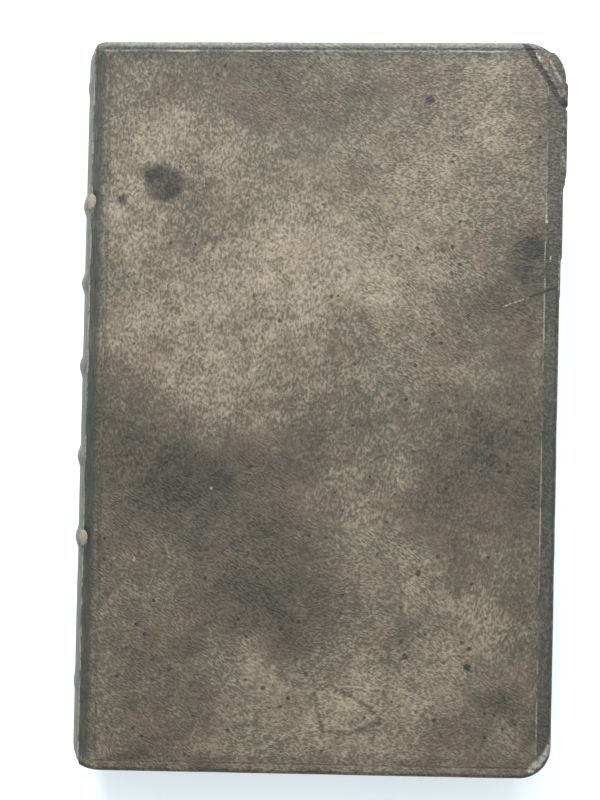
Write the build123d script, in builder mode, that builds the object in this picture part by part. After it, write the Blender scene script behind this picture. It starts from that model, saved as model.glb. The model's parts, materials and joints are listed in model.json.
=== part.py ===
from build123d import *
import os
from math import sqrt

# An old book bound in leather over boards and sewn on five raised cords.
# X runs from the spine to the fore edge, Y from tail to head and Z up from the back cover.
# The origin is under the middle of the closed book, on the plane that its back cover lies on.

os.makedirs("parts", exist_ok=True)

# Overall sizes, in millimetres
cover_height = 172.0  # a cover with its leather, from tail to head
cover_width = 110.4  # from the joint to the fore edge
block_thickness = 26.0  # all the leaves, pressed together
spine_round = 3.3  # how far the spine stands out past the joints
overrun = 5.0  # how far a cut runs past what it cuts

# Materials as they are laid on each other
board_thickness = 2.4
leather_thickness = 0.8
turn_in_thickness = 0.3  # the leather pared thin where it is turned in
paste_thickness = 0.25
leaf_gap = 0.1  # air between the pastedown and the first leaf
glue_gap = 0.05  # glue round the cords and under the spine leather

# Covers
board_edge_round = 0.6
front_corner_rounds = [8.0, 6.5]  # at the fore edge, head and tail
back_corner_rounds = [2.5, 2.5]
joint_corner_cut = 1.6  # the small slanting cut at the two corners beside the spine
turn_in_width = 14.0
paste_margin = 3.5
paste_step = 0.6  # the slope where the pastedown goes down from the turn-in to the board
joint_gap = 0.3
board_setback = 0.5  # from the shoulder to the board
shoulder_drop = 0.2  # from the inside of the leather down to the tip of the shoulder
crease_along_head = 9.4  # the bent corner starts at this crease
crease_along_fore = 15.2
crease_drop = 1.2
corner_wear = 0.3  # how deep the worn corner is cut past the leather

# Blind line tooled round the covers
line_width = 0.5
line_depth = 0.2
line_inset_head = 2.4
line_inset_fore = 3.6
line_inset_tail = 2.8
line_inset_joint = 3.4

# Leaves
square = 3.0  # how far the covers stand out past the leaves
fore_hollow = 3.0

# Cords and raised bands
cord_width = 3.4
cord_thickness = 1.5
cord_edge_cut = 0.5
band_rise = 0.7
band_width = 5.6
band_top = 1.6
band_round = 3.6
band_shares = [0.222, 0.330, 0.446, 0.571, 0.683]  # of the height, down from the head
kettle_rise = 0.25
kettle_width = 4.4
kettle_top = 1.2
kettle_shares = [0.055, 0.883]
worn_bands = [0, 4]  # the bands whose cords show through at the front joint
worn_hole_width = 2.1
worn_hole_length = 4.0

# Ends of the cords laced into the boards
slip_length = 13.0
slip_spread = 5.0
slip_depth = 0.8
slip_hole = 2.0
slip_hole_inset = 10.0

# Caps at the two ends of the spine
cap_depth = 2.7

# Places worked out from the sizes
total_width = cover_width + spine_round + band_rise
lining = turn_in_thickness + paste_thickness + leaf_gap
back_board_z = leather_thickness
back_inner_z = back_board_z + board_thickness
block_low_z = back_inner_z + lining
block_high_z = block_low_z + block_thickness
front_inner_z = block_high_z + lining
front_outer_z = front_inner_z + board_thickness
total_thickness = front_outer_z + leather_thickness
middle_z = total_thickness / 2

spine_x = -total_width / 2
joint_x = spine_x + band_rise + spine_round
fore_x = joint_x + cover_width
cover_half = cover_height / 2
board_half = cover_half - leather_thickness
block_half = cover_half - square
block_fore_x = fore_x - square

# The spine is part of a cylinder that passes through both joints
spine_radius = (middle_z**2 + spine_round**2) / (2 * spine_round)
spine_axis_x = joint_x - spine_round + spine_radius
spine_axis = Axis((spine_axis_x, 0, middle_z), (0, 1, 0))
lining_radius = spine_radius - leather_thickness  # the inside of the spine leather
block_radius = lining_radius - glue_gap
tip_rise = middle_z - leather_thickness - shoulder_drop
tip_x = spine_axis_x - sqrt(block_radius**2 - tip_rise**2)
board_near_x = tip_x + board_setback
shoulder_x = board_near_x - joint_gap
leather_near_x = joint_x + joint_gap / 2
spine_leather_x = joint_x - joint_gap / 2

endband_radius = (board_half - block_half) / 2 - glue_gap
cap_round = endband_radius + leather_thickness
endband_x = spine_axis_x - lining_radius + endband_radius + glue_gap
cord_radius = lining_radius + band_rise - cord_thickness / 2
band_places = [cover_half - share * cover_height for share in band_shares]
kettle_places = [cover_half - share * cover_height for share in kettle_shares]

# Each cover is drawn on the inner face of its board, and its plane looks outwards
front_plane = Plane.XY.offset(front_inner_z)
back_plane = Plane((0, 0, back_inner_z), x_dir=(1, 0, 0), z_dir=(0, 0, -1))


# Plan of a cover, drawn in from the edge of the board by inset at its three free sides
def cover_outline(near_x, inset, rounds=()):
    far_x = fore_x - leather_thickness - inset
    half = board_half - inset
    with BuildSketch() as outline:
        with Locations(((near_x + far_x) / 2, 0)):
            Rectangle(far_x - near_x, 2 * half)
        if rounds:
            for corner, radius in zip([(far_x, half), (far_x, -half)], rounds):
                fillet(outline.vertices().sort_by_distance(corner)[0], radius)
            for corner in [(near_x, half), (near_x, -half)]:
                chamfer(outline.vertices().sort_by_distance(corner)[0], joint_corner_cut)
    return outline.sketch


# Edges of the outer face of a cover, without the one along the joint
def outer_rim(cover, plane):
    outer_face = cover.faces().sort_by(Axis(plane.origin, plane.z_dir))[-1]
    return outer_face.edges().sort_by(Axis.X)[1:]


# The whole board before its cords are laced in, with its outer edges worn round
def board_blank(plane, rounds):
    with BuildPart() as blank:
        with BuildSketch(plane):
            add(cover_outline(board_near_x, 0, rounds))
        extrude(amount=board_thickness)
        fillet(outer_rim(blank, plane), board_edge_round)
    return blank.part


# One end of a cord: pared to a thin fan on the outside of the board, then through a hole
def cord_slip(plane, place):
    side = place * plane.y_dir.Y
    with BuildPart() as slip:
        with BuildSketch(plane.offset(board_thickness)):
            with BuildLine():
                Polyline(
                    (board_near_x, side - cord_width / 2),
                    (board_near_x + slip_length, side - slip_spread / 2),
                    (board_near_x + slip_length, side + slip_spread / 2),
                    (board_near_x, side + cord_width / 2),
                    close=True,
                )
            make_face()
        extrude(amount=-slip_depth)
        with BuildSketch(plane):
            with Locations((board_near_x + slip_hole_inset, side)):
                Circle(slip_hole / 2)
        extrude(amount=board_thickness - slip_depth)
    return slip.part


# Leather laid over a board, turned in round three edges and tooled with the blind line
def laid_leather(plane, rounds):
    head = (cover_half - line_inset_head) * plane.y_dir.Y
    tail = (line_inset_tail - cover_half) * plane.y_dir.Y
    near = joint_x + line_inset_joint
    far = fore_x - line_inset_fore
    length = abs(head - tail)
    with BuildPart() as leather:
        with BuildSketch(plane.offset(-turn_in_thickness)):
            leather_rounds = [radius + leather_thickness for radius in rounds]
            add(cover_outline(leather_near_x, -leather_thickness, leather_rounds))
        extrude(amount=turn_in_thickness + board_thickness + leather_thickness)
        fillet(outer_rim(leather, plane), board_edge_round + leather_thickness)
        add(board_blank(plane, rounds), mode=Mode.SUBTRACT)
        with BuildSketch(plane):
            add(cover_outline(leather_near_x - overrun, turn_in_width))
        extrude(amount=-(turn_in_thickness + overrun), mode=Mode.SUBTRACT)
        with BuildSketch(plane.offset(board_thickness)):
            with Locations((board_near_x, 0)):
                Rectangle(overrun, 2 * board_half, align=(Align.MAX, Align.CENTER))
        extrude(amount=-(board_thickness + turn_in_thickness + overrun), mode=Mode.SUBTRACT)
        with BuildSketch(plane.offset(board_thickness + leather_thickness)):
            with Locations(((near + far) / 2, (head + tail) / 2)):
                Rectangle(far - near, length)
                Rectangle(far - near - 2 * line_width, length - 2 * line_width, mode=Mode.SUBTRACT)
        extrude(amount=-line_depth, mode=Mode.SUBTRACT)
    return leather.part


# A pastedown, which lies on the turn-ins round its edge and on the board inside them
def laid_pastedown(plane):
    with BuildPart() as pastedown:
        with BuildSketch(plane.offset(-turn_in_thickness)):
            add(cover_outline(board_near_x, paste_margin))
        extrude(amount=-paste_thickness)
        with BuildSketch(plane):
            add(cover_outline(board_near_x, turn_in_width))
        extrude(amount=-(turn_in_thickness + paste_thickness))
        with BuildSketch(plane.offset(-paste_thickness)):
            add(cover_outline(board_near_x - overrun, turn_in_width + paste_step))
        extrude(amount=-(turn_in_thickness + overrun), mode=Mode.SUBTRACT)
    return pastedown.part


# Plane of the bent corner, through its crease at the given height and down to the corner
def bend_plane(height):
    head_point = Vector(fore_x - crease_along_head, cover_half, height)
    fore_point = Vector(fore_x, cover_half - crease_along_fore, height)
    corner_point = Vector(fore_x, cover_half, height - crease_drop)
    across = fore_point - head_point
    normal = across.cross(corner_point - head_point).normalized()
    if normal.Z < 0:
        normal = -normal
    return Plane(head_point, x_dir=across, z_dir=normal)


# Upright plane that cuts the leather away at the worn corner of the tail and the fore edge
def wear_plane():
    radius = front_corner_rounds[1]
    centre_x = fore_x - leather_thickness - radius
    centre_y = -board_half + radius
    outwards = Vector(1, -1, 0).normalized()
    return Plane(Vector(centre_x, centre_y, 0) + outwards * (radius - corner_wear), z_dir=outwards)


# A cord as a ring round the spine's axis, with room for glue where asked
def cord_ring(place, room=0):
    with BuildPart() as ring:
        with BuildSketch(Plane.XY.offset(middle_z)) as section:
            with Locations((spine_axis_x - cord_radius, place)):
                Rectangle(cord_thickness + 2 * room, cord_width + 2 * room)
            chamfer(section.vertices(), cord_edge_cut)
        revolve(axis=spine_axis)
    return ring.part


# The space on the spine's side of near_x, from low_z up to high_z
def spine_side(near_x, low_z, high_z):
    with BuildPart() as space:
        with BuildSketch(Plane.XZ):
            with Locations((near_x, (low_z + high_z) / 2)):
                Rectangle(spine_radius, high_z - low_z, align=(Align.MAX, Align.CENTER))
        extrude(amount=cover_half + overrun, both=True)
    return space.part


# Outline of the spine leather along its length: places along Y, heights above the spine
def spine_outline():
    bumps = [(place, band_width, band_top, band_rise) for place in band_places]
    bumps += [(place, kettle_width, kettle_top, kettle_rise) for place in kettle_places]
    lip = lining_radius - cap_depth
    points = [(lip, -cover_half), (spine_radius, -cover_half)]
    rounds = [cap_round]
    for place, width, top, rise in sorted(bumps):
        points.append((spine_radius, place - width / 2))
        points.append((spine_radius + rise, place - top / 2))
        points.append((spine_radius + rise, place + top / 2))
        points.append((spine_radius, place + width / 2))
        rounds += [band_round] * 4
    points += [(spine_radius, cover_half), (lip, cover_half)]
    rounds.append(cap_round)
    return [(spine_axis_x - radius, place) for radius, place in points], rounds


# The oval holes worn through the leather at the front joint, down to the cords
def worn_holes():
    with BuildPart() as holes:
        with BuildSketch(Plane.XY.offset(middle_z)):
            with Locations([(joint_x, band_places[band]) for band in worn_bands]):
                Ellipse(worn_hole_width / 2, worn_hole_length / 2)
        extrude(amount=total_thickness)
    return holes.part


# Back cover

with BuildPart() as back_board:
    add(board_blank(back_plane, back_corner_rounds))
    for place in band_places:
        add(cord_slip(back_plane, place), mode=Mode.SUBTRACT)
back_board.part.label = "back_board"
export_step(back_board.part, "parts/back_board.step")

with BuildPart() as back_leather:
    add(laid_leather(back_plane, back_corner_rounds))
back_leather.part.label = "back_leather"
export_step(back_leather.part, "parts/back_leather.step")

with BuildPart() as back_pastedown:
    add(laid_pastedown(back_plane))
back_pastedown.part.label = "back_pastedown"
export_step(back_pastedown.part, "parts/back_pastedown.step")

# Front cover, with its bent corner at the head and its worn corner at the tail

with BuildPart() as front_board:
    add(board_blank(front_plane, front_corner_rounds))
    for place in band_places:
        add(cord_slip(front_plane, place), mode=Mode.SUBTRACT)
    split(bisect_by=bend_plane(front_outer_z), keep=Keep.BOTTOM)
front_board.part.label = "front_board"
export_step(front_board.part, "parts/front_board.step")

with BuildPart() as front_leather:
    add(laid_leather(front_plane, front_corner_rounds))
    add(worn_holes(), mode=Mode.SUBTRACT)
    split(bisect_by=wear_plane(), keep=Keep.BOTTOM)
    split(bisect_by=bend_plane(total_thickness), keep=Keep.BOTTOM)
front_leather.part.label = "front_leather"
export_step(front_leather.part, "parts/front_leather.step")

with BuildPart() as front_pastedown:
    add(laid_pastedown(front_plane))
front_pastedown.part.label = "front_pastedown"
export_step(front_pastedown.part, "parts/front_pastedown.step")

for number, place in enumerate(band_places, 1):
    for side, plane in [("front", front_plane), ("back", back_plane)]:
        slip_part = cord_slip(plane, place)
        slip_part.label = f"{side}_cord_slip_{number}"
        export_step(slip_part, f"parts/{side}_cord_slip_{number}.step")

# Leaves and spine

with BuildPart() as text_block:
    with BuildSketch(Plane.XZ):
        with BuildLine():
            Line((shoulder_x, block_high_z), (block_fore_x, block_high_z))
            ThreePointArc(
                (block_fore_x, block_high_z),
                (block_fore_x - fore_hollow, middle_z),
                (block_fore_x, block_low_z),
            )
            Line((block_fore_x, block_low_z), (shoulder_x, block_low_z))
            Line((shoulder_x, block_low_z), (tip_x, middle_z - tip_rise))
            ThreePointArc(
                (tip_x, middle_z - tip_rise),
                (spine_axis_x - block_radius, middle_z),
                (tip_x, middle_z + tip_rise),
            )
            Line((tip_x, middle_z + tip_rise), (shoulder_x, block_high_z))
        make_face()
    extrude(amount=block_half, both=True)
    for place in band_places:
        add(cord_ring(place, glue_gap), mode=Mode.SUBTRACT)
text_block.part.label = "text_block"
export_step(text_block.part, "parts/text_block.step")

for number, place in enumerate(band_places, 1):
    with BuildPart() as sewing_cord:
        add(cord_ring(place))
        add(spine_side(spine_leather_x, 0, total_thickness), mode=Mode.INTERSECT)
    sewing_cord.part.label = f"sewing_cord_{number}"
    export_step(sewing_cord.part, f"parts/sewing_cord_{number}.step")

for name, end in [("head", 1), ("tail", -1)]:
    with BuildPart() as endband:
        with BuildSketch(Plane.XY.offset(middle_z)):
            with Locations((endband_x, end * (block_half + board_half) / 2)):
                Circle(endband_radius)
        revolve(axis=spine_axis)
        add(spine_side(board_near_x, block_low_z, block_high_z), mode=Mode.INTERSECT)
    endband.part.label = f"{name}_endband"
    export_step(endband.part, f"parts/{name}_endband.step")

with BuildPart() as spine_leather:
    with BuildSketch(Plane.XY.offset(middle_z)):
        outline_points, outline_rounds = spine_outline()
        with BuildLine():
            FilletPolyline(*outline_points, radius=outline_rounds)
            Line(outline_points[-1], outline_points[0])
        make_face()
        with Locations((spine_axis_x - lining_radius, 0)):
            Rectangle(cap_depth, 2 * board_half, align=(Align.MIN, Align.CENTER), mode=Mode.SUBTRACT)
    revolve(axis=spine_axis)
    for place in band_places:
        add(cord_ring(place, glue_gap), mode=Mode.SUBTRACT)
    add(spine_side(spine_leather_x, joint_gap, total_thickness - joint_gap), mode=Mode.INTERSECT)
    add(worn_holes(), mode=Mode.SUBTRACT)
spine_leather.part.label = "spine_leather"
export_step(spine_leather.part, "parts/spine_leather.step")
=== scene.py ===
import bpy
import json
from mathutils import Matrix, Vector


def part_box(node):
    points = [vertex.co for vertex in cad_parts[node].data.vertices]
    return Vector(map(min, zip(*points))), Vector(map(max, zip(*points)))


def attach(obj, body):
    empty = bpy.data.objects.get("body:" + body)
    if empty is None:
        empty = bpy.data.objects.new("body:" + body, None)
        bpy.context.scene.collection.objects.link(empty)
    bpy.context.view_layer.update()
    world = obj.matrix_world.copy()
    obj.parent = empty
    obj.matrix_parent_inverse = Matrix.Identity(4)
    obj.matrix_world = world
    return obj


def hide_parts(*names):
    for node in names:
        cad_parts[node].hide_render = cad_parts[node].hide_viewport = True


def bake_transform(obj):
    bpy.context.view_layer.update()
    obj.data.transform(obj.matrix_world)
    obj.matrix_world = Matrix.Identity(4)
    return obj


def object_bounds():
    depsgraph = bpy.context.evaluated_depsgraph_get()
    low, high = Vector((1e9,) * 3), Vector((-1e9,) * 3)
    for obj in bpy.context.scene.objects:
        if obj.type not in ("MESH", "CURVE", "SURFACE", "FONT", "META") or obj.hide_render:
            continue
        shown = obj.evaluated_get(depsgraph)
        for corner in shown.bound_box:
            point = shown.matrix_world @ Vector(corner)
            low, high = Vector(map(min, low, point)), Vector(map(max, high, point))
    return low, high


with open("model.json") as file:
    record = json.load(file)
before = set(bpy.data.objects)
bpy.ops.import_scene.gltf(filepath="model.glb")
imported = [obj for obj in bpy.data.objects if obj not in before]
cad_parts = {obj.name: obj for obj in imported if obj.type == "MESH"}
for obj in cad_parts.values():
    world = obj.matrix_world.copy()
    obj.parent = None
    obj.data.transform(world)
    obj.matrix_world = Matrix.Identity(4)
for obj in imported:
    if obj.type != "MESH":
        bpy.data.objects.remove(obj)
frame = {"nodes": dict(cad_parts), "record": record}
cadBounds = [list(corner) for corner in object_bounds()]

import json
import math
import random

import bmesh
import bpy
from mathutils import Matrix, Vector, noise

# An old leather book. Sizes are in millimetres in this script and meshes are scaled to metres
# when they are made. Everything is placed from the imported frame.

mm = 0.001
record = frame["record"]
hingeByName = {joint["name"]: joint for joint in record["behaviour"]["joints"]}


def boxOf(node):
    low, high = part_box(node)
    return Vector(low) / mm, Vector(high) / mm


leatherLow, leatherHigh = boxOf("front_leather")
boardLow, boardHigh = boxOf("front_board")
blockLow, blockHigh = boxOf("text_block")
spineLow, spineHigh = boxOf("spine_leather")
bookLow, bookHigh = Vector(cadBounds[0]) / mm, Vector(cadBounds[1]) / mm

jointX = hingeByName["front_cover_joint"]["pos_m"][0] / mm
coverTop = leatherHigh.z
coverUnder = leatherLow.z
foreX = leatherHigh.x
headY = leatherHigh.y
middleZ = coverTop / 2
leatherThick = leatherHigh.z - boardHigh.z
cordPlaces = [sum(boxOf(f"sewing_cord_{n}")[i].y for i in (0, 1)) / 2 for n in range(1, 6)]

# Camera first, because the marks on the cover are placed through it

cameraLook = {
    "frame": (600, 800),
    "height": 450.0,        # above the front cover
    "offset": (18.47, -9.69),
    "roll": 1.290,          # degrees
    "sway": 2.688,
    "tilt": 1.477,
    "pixelsPerMm": 4.2776,  # at the height of the front cover
}


def makeCamera():
    look = cameraLook
    data = bpy.data.cameras.new("camera")
    camera = bpy.data.objects.new("camera", data)
    bpy.context.scene.collection.objects.link(camera)
    data.sensor_fit = "VERTICAL"
    data.sensor_height = 24.0
    data.lens = data.sensor_height * look["height"] * look["pixelsPerMm"] / look["frame"][1]
    data.clip_start = 0.01
    turn = Matrix.Rotation(math.radians(look["roll"]), 4, "Z")
    turn = turn @ Matrix.Rotation(math.radians(look["sway"]), 4, "Y") @ Matrix.Rotation(math.radians(look["tilt"]), 4, "X")
    place = Vector((look["offset"][0], look["offset"][1], coverTop + look["height"])) * mm
    camera.matrix_world = Matrix.Translation(place) @ turn
    bpy.context.scene.camera = camera
    return camera.matrix_world.copy()


cameraMatrix = makeCamera()
print("camera placed")


# Where a pixel of the photo falls on the plane of the front cover, in mm
def onCover(px, py):
    wide, high = cameraLook["frame"]
    scale = cameraLook["pixelsPerMm"] * cameraLook["height"]
    ray = cameraMatrix.to_3x3() @ Vector(((px - wide / 2) / scale, (high / 2 - py) / scale, -1))
    start = cameraMatrix.translation / mm
    hit = start + ray * ((coverTop - start.z) / ray.z)
    return hit.x, hit.y


outOfSquare = 0.010   # the covers were cut a little out of square: mm up for each mm towards the fore edge


def shear(thing):
    for vertex in thing.data.vertices:
        vertex.co.y += outOfSquare * vertex.co.x


# Small helpers for node trees

def addNode(tree, kind, **settings):
    node = tree.nodes.new(kind)
    for name, value in settings.items():
        setattr(node, name, value)
    return node


def setInput(tree, socket, value):
    if isinstance(value, bpy.types.NodeSocket):
        tree.links.new(value, socket)
    elif value is not None:
        socket.default_value = value


def mathNode(tree, operation, a, b=None, c=None, clamp=False):
    node = addNode(tree, "ShaderNodeMath", operation=operation, use_clamp=clamp)
    for socket, value in zip(node.inputs, (a, b, c)):
        setInput(tree, socket, value)
    return node.outputs[0]


def vectorNode(tree, operation, a, b=None):
    node = addNode(tree, "ShaderNodeVectorMath", operation=operation)
    setInput(tree, node.inputs[0], a)
    if b is not None:
        setInput(tree, node.inputs[3 if operation == "SCALE" else 1], b)
    return node.outputs["Value" if operation in ("LENGTH", "DISTANCE", "DOT_PRODUCT") else 0]


# A smooth step of value from 0 at low to 1 at high, times amount
def stepNode(tree, value, low, high, amount=1.0):
    node = addNode(tree, "ShaderNodeMapRange", interpolation_type="SMOOTHSTEP")
    for name, given in (("Value", value), ("From Min", low), ("From Max", high), ("To Min", 0.0), ("To Max", amount)):
        setInput(tree, node.inputs[name], given)
    return node.outputs[0]


def noiseNode(tree, vector, scale, detail=2.0, rough=0.5, output="Fac"):
    node = addNode(tree, "ShaderNodeTexNoise")
    setInput(tree, node.inputs["Vector"], vector)
    setInput(tree, node.inputs["Scale"], scale)
    setInput(tree, node.inputs["Detail"], detail)
    setInput(tree, node.inputs["Roughness"], rough)
    return node.outputs[output]


def mixNode(tree, factor, a, b, blend="MIX"):
    node = addNode(tree, "ShaderNodeMix", data_type="RGBA", blend_type=blend)
    setInput(tree, node.inputs[0], factor)
    for socket, value in ((node.inputs[6], a), (node.inputs[7], b)):
        setInput(tree, socket, (*value, 1.0) if isinstance(value, tuple) and len(value) == 3 else value)
    return node.outputs[2]


# Colours are typed as they are seen on a screen and turned into linear light here
def seen(red, green, blue):
    return tuple((c / 255 / 12.92) if c <= 10 else ((c / 255 + 0.055) / 1.055) ** 2.4 for c in (red, green, blue))


def newMaterial(name):
    material = bpy.data.materials.new(name)
    material.use_nodes = True
    tree = material.node_tree
    shader = tree.nodes["Principled BSDF"]
    place = addNode(tree, "ShaderNodeTexCoord").outputs["Object"]
    return material, tree, shader, vectorNode(tree, "SCALE", place, 1 / mm)


# Leather: grain, blotches, pores, marks, tooled line and wear

leatherLook = {
    "dark": seen(35, 34, 27),
    "middle": seen(80, 72, 58),
    "light": seen(139, 126, 106),
    "slate": seen(44, 48, 44),
    # slateLit is a painted highlight on the margin leather
    "slateLit": seen(108, 111, 105),
    "rust": seen(97, 75, 58),
    "pale": seen(160, 154, 139),
    "black": seen(28, 30, 28),
    "acrossGrain": 0.53,     # mm, size of a pebble across and along its lie
    "alongGrain": 0.95,
    "grainBump": 0.5,
    "roughness": 0.62,
    "margin": 3.4,           # mm of darker leather outside the tooled line
    "outerRub": 0.5,
}

# Broad lighter and darker areas: pixel of the photo, radii in mm, turn in degrees, change of tone
broadAreas = [
    ((270, 255), (17, 13), 20, 0.16),
    ((205, 370), (16, 11), -25, 0.20),
    ((440, 170), (22, 24), 10, 0.14),
    ((140, 270), (9, 20), 8, 0.10),
    ((175, 130), (16, 10), 0, 0.10),
    ((330, 700), (44, 14), 3, 0.11),
    ((370, 570), (24, 17), -20, 0.09),
    ((470, 370), (14, 9), -15, 0.06),
    ((120, 565), (8, 13), 15, -0.09),
    ((455, 640), (18, 16), 0, 0.07),
    ((110, 320), (4, 12), 0, 0.08),
    ((300, 85), (26, 8), -4, -0.18),
    ((210, 500), (26, 18), -30, -0.22),
    ((150, 440), (17, 12), -20, -0.16),
    ((265, 590), (15, 12), 20, -0.14),
    ((440, 322), (22, 7), 4, -0.12),
    ((330, 410), (12, 8), 50, -0.12),
    ((490, 450), (16, 16), 0, -0.14),
    ((350, 170), (13, 8), 20, -0.06),
    ((190, 200), (12, 8), -30, -0.06),
    ((120, 700), (10, 16), 0, -0.08),
    ((525, 600), (8, 26), 0, -0.12),
    ((500, 715), (14, 8), 10, -0.14),
    ((330, 285), (15, 12), 0, 0.11),
    ((380, 340), (17, 13), 0, 0.14),
    ((250, 335), (9, 7), 0, 0.06),
    ((345, 625), (20, 9), 0, -0.19),
    ((175, 670), (11, 14), 0, -0.16),
    ((505, 430), (8, 22), 0, -0.08),
    ((455, 535), (10, 11), 0, -0.09),
    ((140, 165), (15, 13), 0, 0.09),
    ((150, 320), (14, 13), 0, -0.06),
    ((380, 490), (12, 8), 0, 0.06),
    ((400, 430), (10, 20), 10, -0.07),
    ((110, 120), (5, 14), 0, -0.08),
    ((530, 250), (6, 30), 0, -0.12),
    ((455, 572), (5, 4), 0, -0.12),
]

# Stains with softer or firmer edges, in the same form, with the softness of the edge in mm
stains = [
    ((164, 182), (4.5, 4.3), -10, -0.44, 0.9),
    ((150, 173), (2.4, 2.1), 0, -0.20, 0.9),
    ((532, 258), (5.2, 6.6), 8, -0.20, 2.2),
    ((536, 250), (2.6, 3.0), 0, -0.22, 1.2),
    ((500, 702), (4.0, 2.6), -20, -0.16, 1.6),
    ((220, 480), (3.0, 2.6), 0, -0.10, 1.5),
    ((131, 703), (1.5, 1.3), 0, -0.20, 0.9),
    ((200, 765), (3.4, 1.2), 0, -0.20, 0.9),
    ((132, 757), (4.4, 1.2), 0, -0.20, 0.9),
]

# Dark specks: pixel, radius in mm, change of tone
specks = [
    ((123, 199), 1.05, -0.45), ((430, 100), 1.0, -0.45), ((447, 69), 0.7, -0.20), ((467, 668), 0.75, -0.60),
    ((405, 657), 0.65, -0.40), ((418, 573), 0.6, -0.45), ((401, 643), 0.5, -0.40), ((469, 649), 0.5, -0.45),
    ((513, 723), 0.9, -0.30), ((211, 488), 0.4, 0.6), ((134, 559), 0.4, 0.6), ((238, 255), 0.9, -0.15),
]

# Strokes: two pixels, half width in mm, colour, strength
strokes = [
    ((523, 39), (567, 109), 0.80, "black", 0.80),     # painted shade in the crease of the bent corner
    ((536, 53), (542, 61), 0.30, "pale", 0.9),
    ((545, 52), (562, 82), 0.40, "pale", 0.35),
    ((541, 60), (563, 97), 0.34, "pale", 0.25),
    ((553, 737), (546, 756), 0.70, "pale", 0.6),      # board laid bare at the worn corner
    ((547, 755), (528, 773), 0.85, "pale", 0.6),
    ((529, 297), (556, 288), 0.30, "black", 0.85),    # a scar that runs in from the fore edge
    ((503, 307), (524, 299), 0.16, "pale", 0.55),
    ((547, 214), (547, 223), 0.26, "pale", 0.85),
    ((559.5, 256), (559, 290), 0.16, "pale", 0.6),
    ((551, 256), (550, 262), 0.2, "pale", 0.6),
    ((96, 190), (92, 222), 1.1, "black", 0.5),        # the holes worn through the joint
    ((87, 526), (85, 556), 1.1, "black", 0.6),
]

# A patch of rubbed skin with a torn outline, in pixels of the photo
patchOutline = [(314, 690), (332, 686), (350, 696), (366, 706), (382, 722), (364, 728), (346, 734), (322, 730),
                (318, 712)]

# The fold of the bent corner, in pixels of the photo
creasePixels = ((524, 42), (564, 107))

# How the grain lies: pixel of the photo, reach in mm, 0 up and down, 0.5 on the slant, 1 from side to side
lieAreas = [
    ((140, 200), 26, 0.0), ((250, 300), 26, 0.05), ((130, 400), 20, 0.0), ((300, 120), 22, 0.35),
    ((430, 110), 22, 0.9), ((500, 190), 20, 1.0), ((430, 300), 20, 0.55), ((500, 420), 20, 0.3),
    ((380, 450), 20, 0.1), ((200, 520), 22, 0.5), ((140, 640), 24, 0.55), ((250, 660), 22, 0.6),
    ((380, 640), 22, 0.9), ((480, 620), 20, 0.1), ((450, 720), 16, 0.85), ((300, 740), 14, 0.95),
]


def ellipseReach(x, y, centre, radii, turn):
    across = Vector((x - centre[0], y - centre[1]))
    across.rotate(Matrix.Rotation(math.radians(-turn), 2))
    return math.hypot(across.x / radii[0], across.y / radii[1])


def outlineDistance(x, y, points):
    spot = Vector((x, y))
    nearest, inside = 1e9, False
    for a, b in zip(points, points[1:] + points[:1]):
        a, b = Vector(a), Vector(b)
        share = min(1.0, max(0.0, (spot - a).dot(b - a) / (b - a).length_squared))
        nearest = min(nearest, (spot - a.lerp(b, share)).length)
        if (a.y > y) != (b.y > y) and x < a.x + (y - a.y) / (b.y - a.y) * (b.x - a.x):
            inside = not inside
    return -nearest if inside else nearest


# Stores at each vertex what the marks and the lie of the grain are there
def paintSkin(thing, front):
    mesh = thing.data
    areas = [(onCover(*pixel), radii, turn, change) for pixel, radii, turn, change in broadAreas]
    marks = [(onCover(*pixel), radii, turn, change, soft) for pixel, radii, turn, change, soft in stains]
    lies = [(onCover(*pixel), reach, lie) for pixel, reach, lie in lieAreas]
    patch = [onCover(*pixel) for pixel in patchOutline]
    values = {name: [] for name in ("tone", "lie", "patch")}
    for vertex in mesh.vertices:
        x, y, z = vertex.co / mm
        tone, far = 0.0, 5.0
        if front and z > coverTop / 2:
            drift = noise.noise_vector(Vector((x, y, 0)) * 0.07) * 7.0
            for centre, radii, turn, change in areas:
                reach = ellipseReach(x + drift.x, y + drift.y, centre, radii, turn)
                if reach < 1.9:
                    tone += change * smooth(reach, 1.9, 0.1)
            ragged = noise.noise_vector(Vector((x, y, 3)) * 0.6) * 0.7
            for centre, radii, turn, change, soft in marks:
                edge = min(0.95, soft / min(radii))
                tone += change * smooth(ellipseReach(x + ragged.x, y + ragged.y, centre, radii, turn), 1 + edge, 1 - edge)
            far = min(5.0, outlineDistance(x + ragged.x * 0.6, y + ragged.y * 0.6, patch))
        total, lie = 1e-6, 0.0
        for centre, reach, way in lies:
            weight = math.exp(-((x - centre[0]) ** 2 + (y - centre[1]) ** 2) / (0.5 * reach**2))
            total += weight
            lie += weight * way
        values["tone"].append(tone)
        values["lie"].append(lie / total + 0.25 * noise.noise(Vector((x, y, z)) * 0.05))
        values["patch"].append(far)
    # The raised bands and ridges of the spine are painted lighter: a painted highlight on their crests
    if thing is spineLeather:
        values["tone"] = [tone + 0.30 * bandHeight(v.co.y / mm) for tone, v in zip(values["tone"], mesh.vertices)]
    for name, numbers in values.items():
        layer = mesh.attributes.new(name, "FLOAT", "POINT")
        layer.data.foreach_set("value", numbers)


def attributeNode(tree, name):
    return addNode(tree, "ShaderNodeAttribute", attribute_name=name).outputs["Fac"]


# Coordinates turned and stretched, so that a noise over them lies along a direction
def lyingNoise(tree, place, turn, across, along, detail=1.6):
    mapping = addNode(tree, "ShaderNodeMapping", vector_type="TEXTURE")
    setInput(tree, mapping.inputs["Vector"], place)
    mapping.inputs["Rotation"].default_value = (0, 0, math.radians(turn))
    mapping.inputs["Scale"].default_value = (across, along, across)
    return stepNode(tree, noiseNode(tree, mapping.outputs[0], 1.0, detail, 0.55), 0.30, 0.70)


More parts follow.
